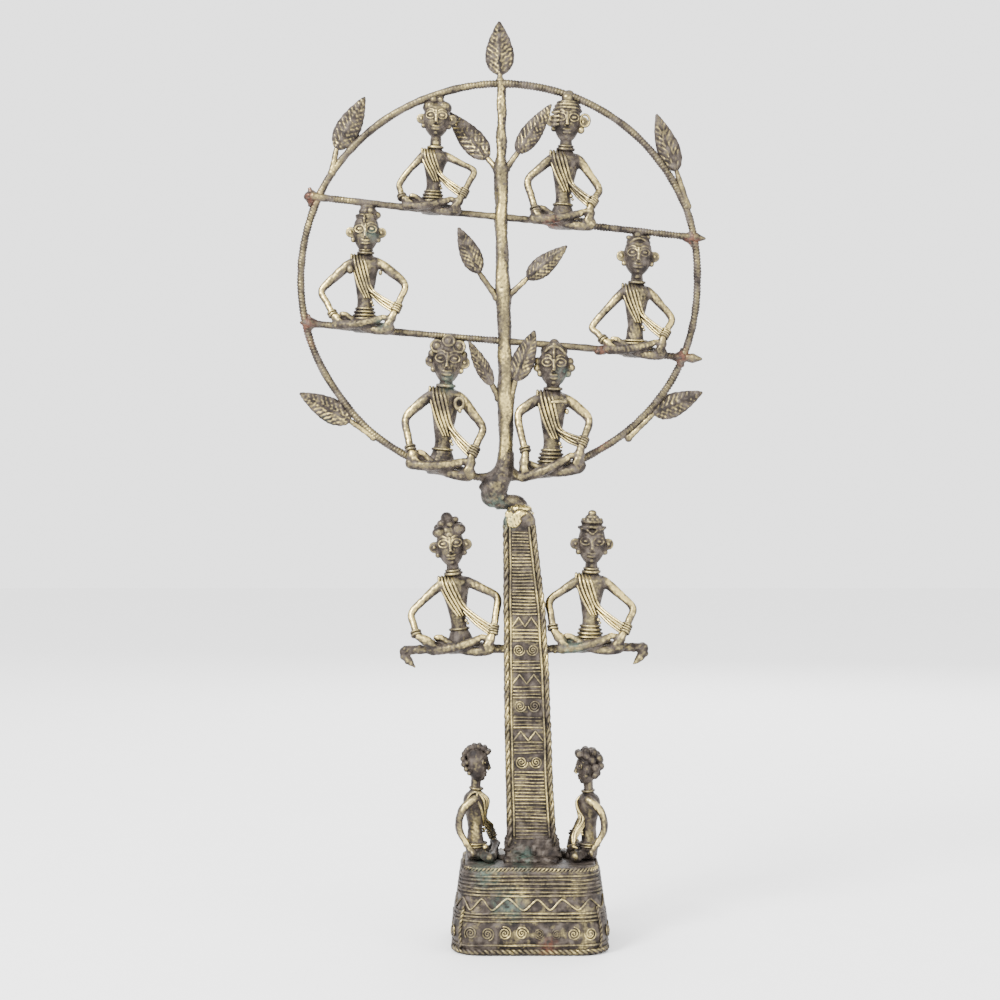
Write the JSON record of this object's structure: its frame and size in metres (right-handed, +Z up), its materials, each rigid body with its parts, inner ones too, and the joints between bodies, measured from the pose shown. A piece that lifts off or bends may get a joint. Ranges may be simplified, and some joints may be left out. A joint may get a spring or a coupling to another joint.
{
  "type": "cast brass tree of life",
  "caption": "Free-standing cast brass tree of life: seated folk figures on a leafy ring, crossbars, a decorated tapering trunk and a hollow flared base.",
  "frame": {"origin": "bottom centre of the object's box, on the surface it stands on", "axes": "+Z up along the trunk, +X to the viewer's right, the decorated front faces -Y"},
  "size_m": [0.1998, 0.072, 0.4504],
  "materials": {
    "patinated_brass": "dark bronze patina, rough cast, rubbed brighter on high places",
    "worn_brass": "raised wires rubbed to pale brass over dark patina",
    "yellow_braze": "bright filed brazing brass",
    "copper_braze": "reddish copper-rich braze",
    "fired_clay": "rough fired clay"
  },
  "bodies": {
    "root": {"base_shell": "patinated_brass", "base_plinth": "patinated_brass", "trunk_body": "patinated_brass", "neck": "patinated_brass", "stem": "patinated_brass", "ring": "patinated_brass", "upper_branch": "patinated_brass", "lower_branch": "patinated_brass", "perch_bar": "patinated_brass", "figure_top_left": "patinated_brass", "figure_top_right": "patinated_brass", "figure_middle_left": "patinated_brass", "figure_middle_right": "patinated_brass", "figure_lower_left": "patinated_brass", "figure_lower_right": "patinated_brass", "figure_perch_left": "patinated_brass", "figure_perch_right": "patinated_brass", "figure_base_left": "patinated_brass", "figure_base_right": "patinated_brass", "base_bottom_rope": "worn_brass", "base_corner_ropes": "worn_brass", "base_wire_bands": "worn_brass", "base_zigzag": "worn_brass", "base_spirals": "worn_brass", "base_top_braid": "worn_brass", "trunk_rope_left": "worn_brass", "trunk_rope_right": "worn_brass", "trunk_border_wires": "worn_brass", "trunk_ladder_wires": "worn_brass", "trunk_spirals": "worn_brass", "trunk_zigzags": "worn_brass", "leaf_top": "worn_brass", "leaf_ring_upper_left": "worn_brass", "leaf_ring_upper_right": "worn_brass", "leaf_ring_lower_left": "worn_brass", "leaf_ring_lower_right": "worn_brass", "leaf_stem_upper_left": "worn_brass", "leaf_stem_upper_right": "worn_brass", "leaf_stem_middle_left": "worn_brass", "leaf_stem_middle_right": "worn_brass", "leaf_stem_lower_left": "worn_brass", "leaf_stem_lower_right": "worn_brass", "shawl_top_left": "worn_brass", "shawl_top_right": "worn_brass", "shawl_middle_left": "worn_brass", "shawl_middle_right": "worn_brass", "shawl_lower_left": "worn_brass", "shawl_lower_right": "worn_brass", "shawl_perch_left": "worn_brass", "shawl_perch_right": "worn_brass", "shawl_base_left": "worn_brass", "shawl_base_right": "worn_brass", "trunk_cap_braze": "yellow_braze", "braze_joints": "copper_braze", "trunk_clay_core": "fired_clay"}
  },
  "joints": []
}
